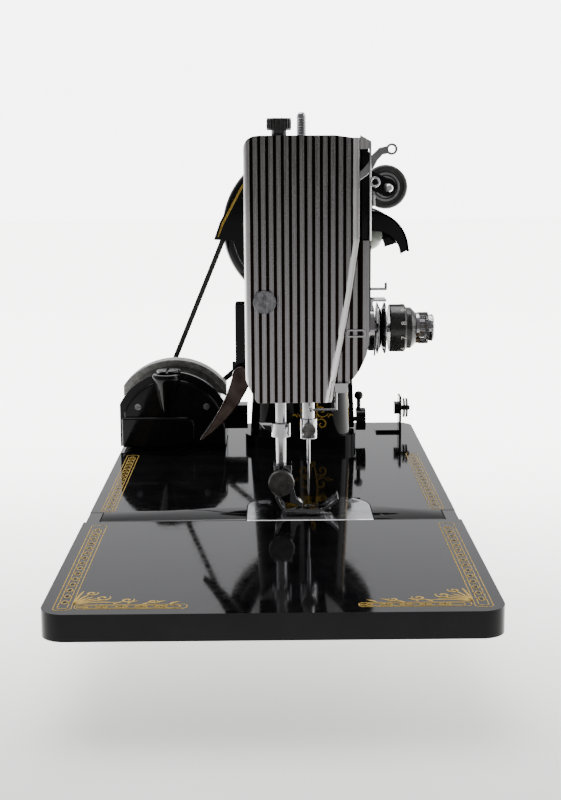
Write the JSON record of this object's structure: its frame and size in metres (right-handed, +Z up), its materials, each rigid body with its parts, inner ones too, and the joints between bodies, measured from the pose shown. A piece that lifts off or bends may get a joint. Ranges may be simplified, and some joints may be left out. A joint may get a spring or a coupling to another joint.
{
  "type": "sewing machine",
  "caption": "Portable lockstitch sewing machine on a flat bed with a folding leaf, belt-driven handwheel, ribbed head cover and work lamp.",
  "frame": {"origin": "middle of the object's base, level with the soles of its rubber feet", "axes": "+X along the bed towards the handwheel, -Y towards the operator, +Z up"},
  "size_m": [0.381, 0.1798, 0.2445],
  "materials": {
    "enamel": "deep gloss",
    "chrome": "polished",
    "steel": "ground",
    "dark_steel": "machined",
    "bronze": "machined",
    "rubber": "matte",
    "belt_rubber": "matte",
    "black_plastic": "moulded",
    "laminations": "stacked sheet",
    "bulb_glass": "clear",
    "spring_steel": "drawn wire"
  },
  "bodies": {
    "frame": {"bed": "enamel", "leaf_hinge_pins": "steel", "drip_pan": "enamel", "drip_pan_screw": "chrome", "rubber_feet": "rubber", "arm_casting": "enamel", "faceplate": "chrome", "cover_screws": "steel", "thread_guides": "chrome", "needle_plate": "chrome", "arm_bushings": "bronze", "bobbin_case_base": "steel", "bobbin_case": "chrome", "tension_discs": "chrome", "spool_pin": "chrome", "lamp_shade": "enamel", "lamp_socket": "steel", "lamp_bulb": "bulb_glass", "stitch_plate": "enamel", "winder_tension": "enamel", "motor_end_caps": "enamel", "motor_core": "laminations", "brush_caps": "black_plastic", "drive_belt": "belt_rubber", "terminal_block": "black_plastic"},
    "leaf": {"bed_leaf": "enamel"},
    "shaft_train": {"main_shaft": "steel", "handwheel": "enamel", "needle_crank": "dark_steel", "main_bevel_gear": "dark_steel"},
    "clutch": {"clutch_knob": "chrome"},
    "upright": {"vertical_shaft": "steel", "vertical_gears": "dark_steel"},
    "hook_train": {"hook_shaft": "steel", "hook_gear": "dark_steel", "rotary_hook": "steel"},
    "rotor": {"motor_shaft": "steel"},
    "link": {"needle_link": "dark_steel"},
    "needle_slider": {"needle_bar": "chrome", "needle_clamp": "chrome", "needle": "chrome"},
    "take_up": {"take_up_lever": "chrome"},
    "presser": {"presser_bar": "chrome", "presser_foot": "chrome", "presser_foot_screw": "dark_steel", "thread_cutter": "chrome", "presser_spring": "spring_steel"},
    "lifter": {"lifter_lever": "chrome"},
    "pressure_knob": {"pressure_screw": "black_plastic"},
    "tension_knob": {"tension_dial": "black_plastic", "tension_nut": "chrome"},
    "check_arm": {"check_spring": "spring_steel"},
    "switch_key": {"lamp_switch": "black_plastic"},
    "stitch_arm": {"stitch_lever": "enamel"},
    "winder_frame": {"winder_arm": "enamel"},
    "winder_reel": {"winder_wheel": "rubber"},
    "feed_lifter": {"feed_fork": "dark_steel"},
    "feed": {"feed_dog": "dark_steel"},
    "bobbin_reel": {"bobbin": "chrome"},
    "case_latch": {"bobbin_latch": "chrome"}
  },
  "joints": [
    {"name": "leaf_fold", "type": "hinge", "parent": "frame", "child": "leaf", "pos_m": [-0.052, 0, 0.0476], "axis": [0, 1, 0], "range_deg": [0, 90]},
    {"name": "handwheel_spin", "type": "hinge", "parent": "frame", "child": "shaft_train", "pos_m": [0.1635, -0.0176, 0.176], "axis": [1, 0, 0], "continuous": true},
    {"name": "clutch_turn", "type": "hinge", "parent": "shaft_train", "child": "clutch", "pos_m": [0.1855, -0.0176, 0.176], "axis": [1, 0, 0], "range_deg": [0, 90]},
    {"name": "upright_spin", "type": "hinge", "parent": "frame", "child": "upright", "pos_m": [0.1255, -0.0176, 0.1], "axis": [0, 0, 1], "continuous": true},
    {"name": "hook_spin", "type": "hinge", "parent": "frame", "child": "hook_train", "pos_m": [0.0115, -0.0176, 0.026], "axis": [1, 0, 0], "continuous": true},
    {"name": "motor_spin", "type": "hinge", "parent": "frame", "child": "rotor", "pos_m": [0.1455, 0.0585, 0.072], "axis": [1, 0, 0], "continuous": true},
    {"name": "link_pivot", "type": "hinge", "parent": "shaft_train", "child": "link", "pos_m": [-0.0325, -0.0176, 0.191], "axis": [1, 0, 0], "continuous": true},
    {"name": "needle_bar_slide", "type": "slide", "parent": "frame", "child": "needle_slider", "axis": [0, 0, 1], "range_m": [-0.03, 0]},
    {"name": "take_up_swing", "type": "hinge", "parent": "frame", "child": "take_up", "pos_m": [-0.0245, -0.0102, 0.2], "axis": [1, 0, 0], "range_deg": [-3, 49]},
    {"name": "lifter_swing", "type": "hinge", "parent": "frame", "child": "lifter", "pos_m": [-0.0265, 0.014, 0.116], "axis": [1, 0, 0], "range_deg": [0, 60]},
    {"name": "presser_slide", "type": "slide", "parent": "frame", "child": "presser", "axis": [0, 0, 1], "range_m": [0, 0.0065]},
    {"name": "pressure_screw_turn", "type": "hinge", "parent": "frame", "child": "pressure_knob", "pos_m": [-0.0375, -0.0043, 0.228], "axis": [0, 0, 1], "range_deg": [-180, 180]},
    {"name": "tension_turn", "type": "hinge", "parent": "frame", "child": "tension_knob", "pos_m": [-0.0245, -0.06, 0.138], "axis": [0, -1, 0], "range_deg": [-150, 150]},
    {"name": "check_spring_swing", "type": "hinge", "parent": "frame", "child": "check_arm", "pos_m": [-0.0245, -0.0505, 0.138], "axis": [0, -1, 0], "range_deg": [-25, 25], "stiffness_Nm_per_rad": 0.005},
    {"name": "lamp_switch_turn", "type": "hinge", "parent": "frame", "child": "switch_key", "pos_m": [0.0535, -0.052, 0.192], "axis": [0, 0, 1], "range_deg": [0, 90]},
    {"name": "stitch_lever_swing", "type": "hinge", "parent": "frame", "child": "stitch_arm", "pos_m": [0.1355, -0.045, 0.0625], "axis": [0, -1, 0], "range_deg": [-20, 20]},
    {"name": "winder_swing", "type": "hinge", "parent": "frame", "child": "winder_frame", "pos_m": [0.1475, -0.0505, 0.21], "axis": [1, 0, 0], "range_deg": [0, 7.5]},
    {"name": "winder_spin", "type": "hinge", "parent": "winder_frame", "child": "winder_reel", "pos_m": [0.1555, -0.0705, 0.201], "axis": [1, 0, 0], "continuous": true},
    {"name": "feed_lift", "type": "slide", "parent": "frame", "child": "feed_lifter", "axis": [0, 0, 1], "range_m": [-0.0015, 0.0003]},
    {"name": "feed_travel", "type": "slide", "parent": "feed_lifter", "child": "feed", "axis": [0, 1, 0], "range_m": [-0.002, 0.002]},
    {"name": "bobbin_spin", "type": "hinge", "parent": "frame", "child": "bobbin_reel", "pos_m": [-0.0265, -0.0176, 0.026], "axis": [1, 0, 0], "continuous": true},
    {"name": "case_latch_open", "type": "hinge", "parent": "frame", "child": "case_latch", "pos_m": [-0.03625, -0.01025, 0.023], "axis": [0, 0, -1], "range_deg": [0, 45]}
  ],
  "couplings": [
    {"joint": "upright_spin", "follows": "handwheel_spin", "ratio": -1},
    {"joint": "hook_spin", "follows": "handwheel_spin", "ratio": -2},
    {"joint": "motor_spin", "follows": "handwheel_spin", "ratio": 4.3333},
    {"joint": "link_pivot", "follows": "handwheel_spin", "ratio": -1}
  ]
}
